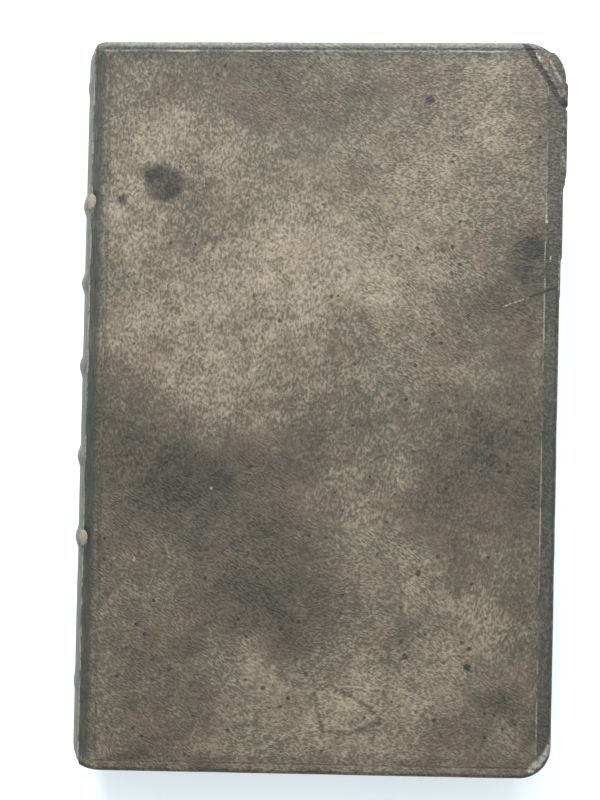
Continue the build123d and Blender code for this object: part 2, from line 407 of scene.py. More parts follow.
def strokeMask(tree, place, a, b, halfWidth):
    a, b = Vector(onCover(*a)), Vector(onCover(*b))
    mapping = addNode(tree, "ShaderNodeMapping", vector_type="TEXTURE")
    setInput(tree, mapping.inputs["Vector"], place)
    mapping.inputs["Location"].default_value = (*((a + b) / 2), 0)
    mapping.inputs["Rotation"].default_value = (0, 0, math.atan2(b.y - a.y, b.x - a.x))
    mapping.inputs["Scale"].default_value = ((b - a).length / 2, halfWidth, 1)
    apart = addNode(tree, "ShaderNodeSeparateXYZ")
    setInput(tree, apart.inputs[0], mapping.outputs[0])
    along = stepNode(tree, mathNode(tree, "ABSOLUTE", apart.outputs[0]), 1.04, 0.9)
    across = stepNode(tree, mathNode(tree, "ABSOLUTE", apart.outputs[1]), 1.5, 0.5)
    return mathNode(tree, "MULTIPLY", along, across)


def leatherMaterial(name):
    look = leatherLook
    material, tree, shader, place = newMaterial(name)
    apart = addNode(tree, "ShaderNodeSeparateXYZ")
    setInput(tree, apart.inputs[0], place)
    x, y, z = apart.outputs
    upper = stepNode(tree, z, coverTop - 2.0, coverTop - 1.0)
    squareY = mathNode(tree, "MULTIPLY_ADD", x, -outOfSquare, y)

    # Blotches of three sizes, under the listed areas
    drift = vectorNode(tree, "SUBTRACT", noiseNode(tree, place, 0.09, 2, 0.6, "Color"), (0.5, 0.5, 0.5))
    drifted = vectorNode(tree, "ADD", place, vectorNode(tree, "SCALE", drift, 9.0))
    tone = mathNode(tree, "ADD", attributeNode(tree, "tone"), 0.16)
    for scale, detail, amount in ((0.04, 2, 0.30), (0.17, 3, 0.46), (0.55, 3, 0.36)):
        tone = mathNode(tree, "MULTIPLY_ADD", noiseNode(tree, drifted, scale, detail, 0.6), amount, tone)
    tone = mathNode(tree, "SUBTRACT", tone, 0.20)

    # Grain that lies three ways, each where the skin was stretched so
    jitter = vectorNode(tree, "SUBTRACT", noiseNode(tree, place, 0.22, 1, 0.5, "Color"), (0.5, 0.5, 0.5))
    flow = vectorNode(tree, "ADD", place, vectorNode(tree, "SCALE", jitter, 1.3))
    lie = attributeNode(tree, "lie")
    across, along = look["acrossGrain"], look["alongGrain"]
    grain = mixFloat(tree, stepNode(tree, lie, 0.22, 0.42), lyingNoise(tree, flow, -4, across, along),
                     lyingNoise(tree, flow, 52, across * 0.85, along * 0.95))
    grain = mixFloat(tree, stepNode(tree, lie, 0.62, 0.82), grain, lyingNoise(tree, flow, 84, across, along * 0.85))
    crease = lyingNoise(tree, place, -1, 0.30, 5.0)
    nearJoint = stepNode(tree, mathNode(tree, "ABSOLUTE", mathNode(tree, "SUBTRACT", x, jointX)), 2.6, 1.2, 0.8)
    grain = mixFloat(tree, nearJoint, grain, crease)
    fine = noiseNode(tree, place, 3.4, 2, 0.6)
    grain = mathNode(tree, "MULTIPLY_ADD", fine, 0.35, mathNode(tree, "MULTIPLY", grain, 0.82))
    strength = mathNode(tree, "MULTIPLY_ADD", tone, 0.30, 0.18)
    tone = mathNode(tree, "MULTIPLY_ADD", mathNode(tree, "SUBTRACT", grain, 0.60), strength, tone)

    # Pores: dark dots, each at its own size, and most of no size at all
    dots = addNode(tree, "ShaderNodeTexVoronoi", feature="F1")
    setInput(tree, dots.inputs["Vector"], place)
    setInput(tree, dots.inputs["Scale"], 0.5)
    pick = addNode(tree, "ShaderNodeSeparateXYZ")
    setInput(tree, pick.inputs[0], dots.outputs["Color"])
    size = stepNode(tree, pick.outputs[0], 0.45, 1.0, 0.25)
    pore = stepNode(tree, mathNode(tree, "SUBTRACT", dots.outputs["Distance"], size), 0.05, -0.05)
    pore = mathNode(tree, "MULTIPLY", pore, pick.outputs[1])
    tone = mathNode(tree, "MULTIPLY_ADD", pore, -0.38, tone)
    ragged = vectorNode(tree, "SUBTRACT", noiseNode(tree, place, 1.1, 2, 0.6, "Color"), (0.5, 0.5, 0.5))
    ragged = vectorNode(tree, "ADD", vectorNode(tree, "MULTIPLY", place, (1, 1, 0)), vectorNode(tree, "SCALE", ragged, 0.9))
    for pixel, radius, change in specks:
        near = vectorNode(tree, "DISTANCE", ragged, (*onCover(*pixel), 0))
        mask = mathNode(tree, "MULTIPLY", stepNode(tree, near, radius * 1.5, radius * 0.5), upper)
        tone = mathNode(tree, "MULTIPLY_ADD", mask, change, tone)
    patch = attributeNode(tree, "patch")
    outline = stepNode(tree, mathNode(tree, "ABSOLUTE", patch), 0.75, 0.15)
    tone = mathNode(tree, "MULTIPLY_ADD", outline, -0.16, tone)
    tone = mathNode(tree, "MULTIPLY_ADD", stepNode(tree, patch, 0.2, -0.6), 0.05, tone)

    ramp = addNode(tree, "ShaderNodeValToRGB")
    setInput(tree, ramp.inputs[0], tone)
    ramp.color_ramp.elements[0].position = 0.08
    ramp.color_ramp.elements[0].color = (*look["dark"], 1)
    ramp.color_ramp.elements[1].position = 0.92
    ramp.color_ramp.elements[1].color = (*look["light"], 1)
    ramp.color_ramp.elements.new(0.48).color = (*look["middle"], 1)
    colour = ramp.outputs[0]
    rust = stepNode(tree, noiseNode(tree, drifted, 0.12, 2, 0.5), 0.48, 0.76, 0.32)
    rust = mathNode(tree, "MULTIPLY", rust, stepNode(tree, tone, 0.15, 0.45))
    colour = mixNode(tree, rust, colour, look["rust"])
    cool = stepNode(tree, noiseNode(tree, place, 0.30, 3, 0.6), 0.52, 0.74, 0.34)
    colour = mixNode(tree, cool, colour, look["slate"])

    # Darker, cooler leather outside the tooled line and on the edges
    margin = look["margin"]
    wander = mathNode(tree, "MULTIPLY_ADD", noiseNode(tree, place, 0.35, 3, 0.6), 3.0, -1.5)
    sides = [
        mathNode(tree, "SUBTRACT", foreX, x),
        mathNode(tree, "SUBTRACT", headY, squareY),
        mathNode(tree, "ADD", headY, squareY),
        mathNode(tree, "SUBTRACT", x, jointX),
    ]
    inset = sides[0]
    for side in sides[1:]:
        inset = mathNode(tree, "MINIMUM", inset, side)
    outside = stepNode(tree, mathNode(tree, "ADD", inset, wander), margin + 1.8, margin - 1.4, 0.66)
    byJoint = stepNode(tree, sides[3], 6.0, 4.5)
    islands = stepNode(tree, mathNode(tree, "MULTIPLY_ADD", wander, 0.9, sides[3]), 2.0, 3.2, 0.6)
    islands = mathNode(tree, "MULTIPLY", byJoint, islands)
    outside = mathNode(tree, "MULTIPLY", outside, mathNode(tree, "SUBTRACT", 1.0, islands))
    onSpine = stepNode(tree, sides[3], -1.6, -3.0, 0.75)
    outside = mathNode(tree, "MULTIPLY", outside, mathNode(tree, "SUBTRACT", 1.0, onSpine))
    byTail = stepNode(tree, sides[2], 4.2, 2.6, 0.7)
    outside = mathNode(tree, "MULTIPLY", outside, mathNode(tree, "SUBTRACT", 1.0, byTail))
    # Painted highlight: the margin is painted lighter along the head edge and along the joint line
    slate = mixNode(tree, stepNode(tree, sides[1], 3.0, 0.5), look["slate"], look["slateLit"])
    slate = mixNode(tree, stepNode(tree, sides[3], 0.3, -0.3), slate, look["slateLit"])
    slate = vectorNode(tree, "SCALE", slate, mathNode(tree, "MULTIPLY_ADD", grain, 0.8, 0.5))
    colour = mixNode(tree, outside, colour, slate)

    # The tooled line: a painted highlight on its ridge and painted shade in the groove outside it, broken here and
    # there
    line, groove = None, None
    for side, inwards, ridgeHighlight, grooveShade in zip(sides, tooledInsets, tooledRidgeHighlight, tooledGrooveShade):
        near = mathNode(tree, "ADD", mathNode(tree, "SUBTRACT", side, inwards), mathNode(tree, "MULTIPLY", wander, 0.12))
        reach = stepNode(tree, othersInset(tree, sides, side), inwards - 0.6, inwards + 0.2)
        ridge = stepNode(tree, mathNode(tree, "ABSOLUTE", near), 0.30, 0.06, ridgeHighlight)
        ridge = mathNode(tree, "MULTIPLY", ridge, reach)
        shade = mathNode(tree, "ABSOLUTE", mathNode(tree, "ADD", near, 0.5 if side is not sides[3] else -0.2))
        shade = mathNode(tree, "MULTIPLY", stepNode(tree, shade, 0.75, 0.2, grooveShade), reach)
        line = ridge if line is None else mathNode(tree, "MAXIMUM", line, ridge)
        groove = shade if groove is None else mathNode(tree, "MAXIMUM", groove, shade)
    broken = stepNode(tree, noiseNode(tree, place, 0.10, 3, 0.75), 0.40, 0.62)
    a, b = (Vector((*onCover(*pixel), 0)) for pixel in creasePixels)
    across = Vector((a.y - b.y, b.x - a.x, 0)).normalized()
    across *= 1 if across.x > 0 else -1
    bent = mathNode(tree, "SUBTRACT", vectorNode(tree, "DOT_PRODUCT", place, tuple(across)), a.dot(across))
    bent = mathNode(tree, "MULTIPLY", stepNode(tree, bent, -0.2, 0.4), upper)
    broken = mathNode(tree, "MULTIPLY", broken, mathNode(tree, "SUBTRACT", 1.0, bent))
    colour = mixNode(tree, groove, colour, look["black"])
    colour = mixNode(tree, mathNode(tree, "MULTIPLY", line, broken), colour, look["pale"])

    # Rubbed rims and the crack along the joint
    rim = stepNode(tree, mathNode(tree, "MINIMUM", mathNode(tree, "MINIMUM", sides[0], sides[1]), sides[2]), 0.8, 0.1)
    rim = mathNode(tree, "MULTIPLY", rim, stepNode(tree, noiseNode(tree, place, 0.6, 4, 0.7), 0.44, 0.72, look["outerRub"]))
    colour = mixNode(tree, rim, colour, look["pale"])
    crack = mathNode(tree, "ABSOLUTE", mathNode(tree, "MULTIPLY_ADD", wander, 0.15, sides[3]))
    worn = stepNode(tree, noiseNode(tree, place, 0.16, 4, 0.8), 0.44, 0.58, 0.75)
    crack = mathNode(tree, "MULTIPLY", stepNode(tree, crack, 0.26, 0.08), worn)
    beside = mathNode(tree, "ABSOLUTE", mathNode(tree, "SUBTRACT", sides[3], 1.3))
    beside = stepNode(tree, beside, 1.9, 0.5, 0.32)
    colour = mixNode(tree, beside, colour, look["black"])
    colour = mixNode(tree, crack, colour, look["pale"])
    fray = stepNode(tree, noiseNode(tree, place, 1.1, 2, 0.6), 0.36, 0.56)
    shaky = vectorNode(tree, "ADD", vectorNode(tree, "SCALE", place, 0.5), vectorNode(tree, "SCALE", ragged, 0.5))
    for a, b, halfWidth, tint, strong in strokes:
        mask = mathNode(tree, "MULTIPLY", strokeMask(tree, shaky, a, b, halfWidth), upper)
        if tint == "pale":
            mask = mathNode(tree, "MULTIPLY", mask, fray)
        colour = mixNode(tree, mathNode(tree, "MULTIPLY", mask, strong), colour, look[tint])
    setInput(tree, shader.inputs["Base Color"], colour)

    # Relief and gloss
    height = mathNode(tree, "MULTIPLY_ADD", pore, -0.5, grain)
    bump = addNode(tree, "ShaderNodeBump")
    bump.inputs["Strength"].default_value = look["grainBump"]
    bump.inputs["Distance"].default_value = 0.2 * mm
    setInput(tree, bump.inputs["Height"], height)
    setInput(tree, shader.inputs["Normal"], bump.outputs[0])
    setInput(tree, shader.inputs["Roughness"], mathNode(tree, "MULTIPLY_ADD", grain, -0.16, look["roughness"] + 0.08))
    shader.inputs["Specular IOR Level"].default_value = 0.4
    return material


# Insets of the tooled line in mm, in the order fore edge, head, tail, joint
tooledInsets = (3.6, 2.4, 2.8, 3.6)
# Strength of the painted highlight on the tooled ridge, then of the painted shade in its groove, in the same order
tooledRidgeHighlight = (0.42, 0.50, 0.16, 0.14)
tooledGrooveShade = (0.22, 0.24, 0.16, 0.34)


# How far a point is inside the other sides of the cover
def othersInset(tree, sides, side):
    inset = None
    for other in sides:
        if other is side:
            continue
        inset = other if inset is None else mathNode(tree, "MINIMUM", inset, other)
    return inset


def mixFloat(tree, factor, a, b):
    node = addNode(tree, "ShaderNodeMix", data_type="FLOAT")
    for socket, value in zip((node.inputs[0], node.inputs[2], node.inputs[3]), (factor, a, b)):
        setInput(tree, socket, value)
    return node.outputs[0]


# Paper, board and thread

paperLook = {
    "leaf": (seen(150, 134, 104), seen(184, 170, 142), seen(112, 92, 66)),
    "endpaper": (seen(150, 132, 100), seen(176, 161, 132), seen(108, 84, 58)),
    "board": (seen(122, 106, 84), seen(150, 134, 108), seen(92, 78, 60)),
    "cord": (seen(128, 119, 104), seen(156, 147, 130), seen(76, 70, 60)),
    "thread": (seen(150, 134, 104), seen(178, 164, 134), seen(100, 88, 68)),
}


def fibreMaterial(name, colours, scale, bumpDistance, rough=0.85, stretch=(1.0, 1.0, 1.0)):
    material, tree, shader, place = newMaterial(name)
    stretched = vectorNode(tree, "MULTIPLY", place, stretch)
    cloud = noiseNode(tree, place, 0.05, 4, 0.6)
    fibre = noiseNode(tree, stretched, scale, 4, 0.7)
    colour = mixNode(tree, stepNode(tree, cloud, 0.3, 0.7), colours[0], colours[1])
    colour = mixNode(tree, stepNode(tree, fibre, 0.35, 0.75, 0.4), colour, colours[2])
    spots = addNode(tree, "ShaderNodeTexVoronoi", feature="F1")
    setInput(tree, spots.inputs["Vector"], vectorNode(tree, "ADD", place, vectorNode(tree, "SCALE",
             noiseNode(tree, place, 0.8, 3, 0.6, "Color"), 2.0)))
    setInput(tree, spots.inputs["Scale"], 0.11)
    foxing = stepNode(tree, spots.outputs["Distance"], 0.16, 0.04, 0.35)
    colour = mixNode(tree, foxing, colour, colours[2])
    setInput(tree, shader.inputs["Base Color"], colour)
    bump = addNode(tree, "ShaderNodeBump")
    bump.inputs["Strength"].default_value = 0.6
    bump.inputs["Distance"].default_value = bumpDistance * mm
    setInput(tree, bump.inputs["Height"], fibre)
    setInput(tree, shader.inputs["Normal"], bump.outputs[0])
    shader.inputs["Roughness"].default_value = rough
    shader.inputs["Specular IOR Level"].default_value = 0.2
    return material


leather = leatherMaterial("leather")
leafPaper = fibreMaterial("leafPaper", paperLook["leaf"], 1.2, 0.05)
endPaper = fibreMaterial("endPaper", paperLook["endpaper"], 0.9, 0.05)
boardStock = fibreMaterial("boardStock", paperLook["board"], 2.5, 0.15)
cordFibre = fibreMaterial("cordFibre", paperLook["cord"], 3.0, 0.2, stretch=(0.4, 2.5, 0.4))
bandThread = fibreMaterial("bandThread", paperLook["thread"], 3.0, 0.1)
print("materials made")


def meshObject(name, vertices, faces, material):
    mesh = bpy.data.meshes.new(name)
    mesh.from_pydata([tuple(c * mm for c in v) for v in vertices], [], faces)
    mesh.materials.append(material)
    mesh.polygons.foreach_set("use_smooth", [True] * len(mesh.polygons))
    mesh.update()
    thing = bpy.data.objects.new(name, mesh)
    bpy.context.scene.collection.objects.link(thing)
    return thing


def applyModifiers(thing):
    evaluated = thing.evaluated_get(bpy.context.evaluated_depsgraph_get())
    mesh = bpy.data.meshes.new_from_object(evaluated)
    thing.modifiers.clear()
    old = thing.data
    thing.data = mesh
    bpy.data.meshes.remove(old)


def smooth(value, low, high):
    share = min(1.0, max(0.0, (value - low) / (high - low)))
    return share * share * (3 - 2 * share)


cordEndShape = {"bands": (0, 4), "long": 1.9, "wide": 1.0, "high": 0.42, "dent": 0.6, "dentReach": (1.2, 2.2)}


# How deep the leather is worn away round the frayed cords of the joint
def cordDent(x, y):
    wide, long = cordEndShape["dentReach"]
    away = [((x - jointX) / wide) ** 2 + ((y - cordPlaces[band]) / long) ** 2 for band in cordEndShape["bands"]]
    return cordEndShape["dent"] * sum(math.exp(-(a**2)) for a in away)

# The leather of a cover: a fine sheet, rolled over the edges of the board and turned in

coverShape = {
    "step": 1.0,
    "edgeRound": 1.4,
    "underRound": 0.5,
    "turnIn": 6.0,          # the rest is under the pastedown
    "turnInThick": 0.3,
    "frontRounds": (8.8, 7.5),     # at the head and the tail of the fore edge
    "backRounds": (3.3, 3.3),
    "jointRounds": ((2.6, 2.0), (5.2, 2.4)),   # along and up at the head, then at the tail
    "grooveDepth": 0.16,
    "grooveWide": 0.24,
    "undulation": 0.16,
    "crease": creasePixels,
    "creaseDepth": 0.4,
    "creaseWide": 0.55,
    "cornerDrop": 1.1,
    "cornerReach": 6.5,
    # How far the torn leather stands off the fore edge, below each of these pixels
    "tearSteps": [(58, 0.7), (85, 1.2), (108, 0.8), (111, 1.15), (178, 0.85), (190, 0.45), (262, 0.15), (300, 0.0)],
}


# Places of the grid lines from low to high, closer together near high and beside the tooled lines
def gridLines(low, high, step, fineFrom, fineAt):
    lines = {low, high}
    for a, b, pitch in ((low, fineFrom, step), (fineFrom, high, step * 0.45)):
        count = int(round((b - a) / pitch))
        lines.update(a + (b - a) * i / count for i in range(1, count + 1))
    kept = {v for v in lines if v in (low, high) or all(abs(v - f) > 1.0 for f in fineAt)}
    for f in fineAt:
        kept.update(f + 0.22 * i for i in range(-4, 5) if low < f + 0.22 * i < high)
    return sorted(kept)


# Moves a point of the square corner of a grid onto a rounded corner
def roundCorner(u, v, radius, reach):
    share = radius / reach
    cut = share * (1 - math.sqrt(0.5))
    knee = (1 - cut, 1 - cut)

    def side(a):
        if a < 1 - share:
            return a / (1 - share) * (1 - share), 1.0
        turn = (a - (1 - share)) / share * math.pi / 4
        return 1 - share + share * math.sin(turn), 1 - share + share * math.cos(turn)

    topX, topY = side(u)
    sideY, sideX = side(v)
    x = (1 - v) * u + v * topX + (1 - u) * 0 + u * sideX - ((1 - v) * u + u * v * knee[0])
    y = (1 - v) * 0 + v * topY + (1 - u) * v + u * sideY - ((1 - u) * v + u * v * knee[1])
    return x, y


def coverSkin(name, front, material):
    shape = coverShape
    edge = shape["edgeRound"]
    lowX, highX = jointX + 0.15, foreX - edge
    lowY, highY = -headY + edge, headY - edge
    insets = tooledInsets
    fineX = [foreX - insets[0], jointX + insets[3], jointX + 1.1]
    fineY = [headY - insets[1], -headY + insets[2]]
    xs = gridLines(lowX, highX, shape["step"], highX - 12, fineX)
    ys = gridLines(lowY, highY, shape["step"], highY - 17, fineY)
    headRound, tailRound = shape["frontRounds"] if front else shape["backRounds"]
    creaseA, creaseB = (Vector(onCover(*pixel)) for pixel in shape["crease"])
    creaseWay = (creaseB - creaseA).normalized()
    creaseOut = Vector((-creaseWay.y, creaseWay.x))
    if creaseOut.x < 0:
        creaseOut = -creaseOut

    def warped(x, y):
        for up, (long, deep) in zip((1, -1), shape["jointRounds"]):
            share = max(0.0, 1 - (x - lowX) / long)
            drop = deep * (1 - math.sqrt(1 - share * share))
            y -= up * drop * smooth(up * y, highY - 12, highY)
        for up, radius in ((1, headRound - edge), (-1, tailRound - edge)):
            reach = radius * 2.0
            u = (x - (highX - reach)) / reach
            v = (up * y - (highY - reach)) / reach
            if u > 0 and v > 0:
                u, v = roundCorner(u, v, radius, reach)
                return highX - reach + u * reach, up * (highY - reach + v * reach)
        return x, y

    def relief(x, y):
        spot = Vector((x, y, 0 if front else 40))
        drop = shape["undulation"] * (0.5 + 0.5 * noise.noise(spot * 0.045))
        drop += 0.05 * (0.5 + 0.5 * noise.noise(spot * 0.19))
        sides = (foreX - x, headY - y, headY + y, x - jointX)
        for i, place in enumerate(insets):
            others = min(s for j, s in enumerate(sides) if j != i)
            if others > place - 0.3:
                drop += shape["grooveDepth"] * math.exp(-(((sides[i] - place + 0.35) / shape["grooveWide"]) ** 2))
        if front:
            away = (Vector((x, y)) - creaseA).dot(creaseOut)
            drop += shape["creaseDepth"] * math.exp(-((away / shape["creaseWide"]) ** 2))
            drop += bentDrop(x, y) + cordDent(x, y)
        return max(0.01, drop)

    def bentDrop(x, y):
        if not front:
            return 0.0
        away = (Vector((x, y)) - creaseA).dot(creaseOut)
        return shape["cornerDrop"] * smooth(away, 0.0, shape["cornerReach"])

    vertices, faces = [], []
    index = {}
    for j, y in enumerate(ys):
        for i, x in enumerate(xs):
            px, py = warped(x, y)
            index[i, j] = len(vertices)
            vertices.append((px, py, coverTop - relief(px, py)))
    for j in range(len(ys) - 1):
        for i in range(len(xs) - 1):
            faces.append((index[i, j], index[i + 1, j], index[i + 1, j + 1], index[i, j + 1]))

    # The rim: from the tail joint round the fore edge to the head joint
    last, top = len(xs) - 1, len(ys) - 1
    rim = [index[i, 0] for i in range(last)] + [index[last, j] for j in range(top)]
    rim += [index[i, top] for i in range(last, -1, -1)]
    points = [Vector(vertices[v][:2]) for v in rim]
    outwards = []
    for i, point in enumerate(points):
        before, after = points[max(0, i - 1)], points[min(len(points) - 1, i + 1)]
        way = (after - before).normalized()
        outwards.append(Vector((way.y, -way.x)))

    low = coverUnder
    under = shape["underRound"]
    profile = [(edge * math.sin(a), coverTop - edge * (1 - math.cos(a)))
               for a in (math.radians(18 * k) for k in range(1, 6))]
    profile += [(edge, coverTop - edge - (coverTop - edge - low - under) * k / 3) for k in (1, 2, 3)]
    profile += [(edge - under * (1 - math.cos(a)), low + under * (1 - math.sin(a)))
                for a in (math.radians(30), math.radians(60), math.radians(90))]
    profile += [(edge - under - (shape["turnIn"] - under) * k / 4, low) for k in (1, 2, 3, 4)]

    tearPlaces = [onCover(560, pixel)[1] for pixel, amount in shape["tearSteps"]]

    def tear(y):
        if not front:
            return 0.0
        change = 0.0
        for i, place in enumerate(tearPlaces):
            before = shape["tearSteps"][i - 1][1] if i else 0.0
            change += (shape["tearSteps"][i][1] - before) * smooth(y, place + 0.3, place - 0.3)
        return change

    previous = rim
    for reach, z in profile:
        ring = []
        for point, outward in zip(points, outwards):
            wave = 0.12 * noise.noise(Vector((point.x * 0.09, point.y * 0.09, 5 if front else 9)))
            out = reach - 0.06 + min(0.0, wave)
            if reach > 0:
                out += tear(point.y) * smooth(outward.x, 0.2, 0.95)
            spot = point + outward * out
            drop = bentDrop(spot.x, spot.y)
            if front:
                away = (spot - creaseA).dot(creaseOut)
                drop += shape["creaseDepth"] * math.exp(-((away / shape["creaseWide"]) ** 2))
            drop *= max(0.0, (z - low) / (coverTop - low))
            ring.append(len(vertices))
            vertices.append((max(spot.x, lowX), spot.y, z - drop))
        for k in range(len(ring) - 1):
            faces.append((previous[k], ring[k], ring[k + 1], previous[k + 1]))
        previous = ring

    if not front:
        vertices = [(x, y, coverTop - z) for x, y, z in vertices]
        faces = [tuple(reversed(face)) for face in faces]
    skin = meshObject(name, vertices, faces, material)

    # The leather's own thickness, pared thin where it is turned in
    pared = skin.vertex_groups.new(name="thickness")
    for v in skin.data.vertices:
        depth = v.co.z / mm if front else coverTop - v.co.z / mm
        thin = depth < low + 0.3
        pared.add([v.index], shape["turnInThick"] / leatherThick if thin else 1.0, "REPLACE")
    solid = skin.modifiers.new("thickness", "SOLIDIFY")
    solid.thickness = leatherThick * 0.94 * mm
    solid.offset = -1
    solid.vertex_group = "thickness"
    applyModifiers(skin)
    skin.vertex_groups.clear()
    for vertex in skin.data.vertices:
        vertex.co.z = min(coverTop * mm, max(0.0, vertex.co.z))
    return skin


frontSkin = coverSkin("front_cover_leather", True, leather)
backSkin = coverSkin("back_cover_leather", False, leather)
print("cover leathers made")


# The leather of the spine: part of a cylinder with five raised bands, two ridges and two caps

spineShape = {
    "round": 3.3,            # from the joints out to the back of the spine
    "bandRise": 0.7,
    "bandWide": 2.9,
    "ridgeRise": 0.25,
    "ridgeWide": 2.4,
    "ridgePlaces": (0.445, -0.383),   # shares of the height, from the middle
    "capRounds": ((4.0, 1.85), (5.6, 2.6)),   # along and in, at the head and the tail
    "capDepth": 2.7,
    "across": 56,
    "step": 0.55,
}


def spineProfile():
    rise = spineShape["round"]
    radius = (middleZ**2 + rise**2) / (2 * rise)
    return radius, jointX - rise + radius


def bandHeight(y):
    height = 0.0
    for place in cordPlaces:
        height += spineShape["bandRise"] * max(0.0, math.cos(min(1.0, abs(y - place) / spineShape["bandWide"]) * math.pi / 2)) ** 1.6
    for share in spineShape["ridgePlaces"]:
        near = abs(y - share * 2 * headY)
        height += spineShape["ridgeRise"] * max(0.0, math.cos(min(1.0, near / spineShape["ridgeWide"]) * math.pi / 2)) ** 1.6
    return height


def spineSkin(name, material):
    shape = spineShape
    radius, axisX = spineProfile()
    span = math.acos((axisX - (jointX - 0.15)) / radius)
    (headLong, headDeep), (tailLong, tailDeep) = shape["capRounds"]
    lowY, highY = -headY + tailLong, headY - headLong
    count = int((highY - lowY) / shape["step"])
    rows = [(lowY + (highY - lowY) * k / count, 0.0) for k in range(count + 1)]
    turns = [math.radians(9 * k) for k in range(1, 11)]
    head = [(headY - headLong * (1 - math.sin(a)), headDeep * (1 - math.cos(a))) for a in turns]
    tail = [(-headY + tailLong * (1 - math.sin(a)), tailDeep * (1 - math.cos(a))) for a in turns]
    rows = list(reversed(tail)) + rows + head
    vertices, faces = [], []
    across = shape["across"]
    for y, inwards in rows:
        for k in range(across + 1):
            angle = span * (2 * k / across - 1)
            fromJoint = (1 - abs(2 * k / across - 1)) * radius * span
            rise = bandHeight(y) * smooth(fromJoint, 0.2, 3.2) if inwards == 0 else 0.0
            spot = Vector((k * 0.5, y, 77))
            drop = 0.10 * (0.5 + 0.5 * noise.noise(spot * 0.12))
            tuck = 0.32 * (1 - smooth(fromJoint, 1.2, 2.0))
            reach = radius + rise - drop - tuck - inwards
            x = axisX - reach * math.cos(angle)
            z = middleZ + reach * math.sin(angle)
            pull = 0.3 + 2.0 * abs(2 * k / across - 1) ** 3
            pulled = y - math.copysign(pull * smooth(abs(y), headY - 10, headY), y)
            vertices.append((min(x, jointX - 0.15), pulled, z))
    for j in range(len(rows) - 1):
        for k in range(across):
            a = j * (across + 1) + k
            faces.append((a, a + 1, a + across + 2, a + across + 1))
    skin = meshObject(name, vertices, faces, material)
    solid = skin.modifiers.new("thickness", "SOLIDIFY")
    solid.thickness = leatherThick * 0.9 * mm
    solid.offset = -1
    applyModifiers(skin)
    return skin


spineLeather = spineSkin("spine_cover_leather", leather)
print("spine leather made")


# The leather of a joint: a narrow strip that closes the line between spine and cover

jointShape = {"halfWidth": 1.5, "thick": 0.3, "across": 14, "step": 0.7, "ends": 2.7}


def jointStrip(name, front, material):
    shape = jointShape
    radius, axisX = spineProfile()
    count = int(2 * (headY - shape["ends"]) / shape["step"])
    vertices, faces = [], []
    across = shape["across"]
    for j in range(count + 1):
        y = -headY + shape["ends"] + 2 * (headY - shape["ends"]) * j / count
        for k in range(across + 1):
            along = shape["halfWidth"] * (2 * k / across - 1)
            wear = 0.05 * noise.noise(Vector((along * 0.8, y * 0.35, 11)))
            if along >= 0:
                x, z = jointX + along, coverTop - 0.05 + wear - 0.10 * (0.5 + 0.5 * noise.noise(Vector((0, y * 0.05, 3))))
            else:
                angle = math.asin(middleZ / radius) + along / radius
                reach = radius - 0.03 + wear
                x, z = axisX - reach * math.cos(angle), middleZ + reach * math.sin(angle) - 0.08
            dip = 0.16 * math.exp(-((along / 0.4) ** 2))
            if front:
                dip += cordDent(x, y)
            vertices.append((x, y, min(z - dip, coverTop - 0.01)))
    for j in range(count):
        for k in range(across):
            a = j * (across + 1) + k
            faces.append((a, a + 1, a + across + 2, a + across + 1))
    if not front:
        vertices = [(x, y, coverTop - z) for x, y, z in vertices]
        faces = [tuple(reversed(face)) for face in faces]
    strip = meshObject(name, vertices, faces, material)
    solid = strip.modifiers.new("thickness", "SOLIDIFY")
    solid.thickness = shape["thick"] * mm
    solid.offset = -1
    applyModifiers(strip)
    return strip


frontStrip = jointStrip("front_joint_leather", True, leather)
backStrip = jointStrip("back_joint_leather", False, leather)
for skin in (frontSkin, backSkin, spineLeather, frontStrip, backStrip):
    shear(skin)
    paintSkin(skin, skin is not backSkin and skin is not backStrip)
print("joints made")


# The leaves: thin slabs on a line, bent to the round of the spine and the hollow of the fore edge

leafShape = {
    "count": 150,
    "hollow": 3.0,
    "fan": 2.2,              # how far the outer leaves bend over at the shoulders
    "bendReach": 0.7,
    "sectionLeaves": 8,
    "sectionJitter": 0.22,
    "leafJitter": 0.16,
    "gap": 0.10,             # share of a leaf's thickness left open between two leaves
}


def groupInput(tree, name, kind, value):
    socket = tree.interface.new_socket(name, in_out="INPUT", socket_type=kind)
    if value is not None:
        socket.default_value = value
    return socket


# A tree's math node, with the same helper as the shaders but in a geometry tree
def fieldMath(tree, operation, a, b=None, c=None):
    return mathNode(tree, operation, a, b, c)


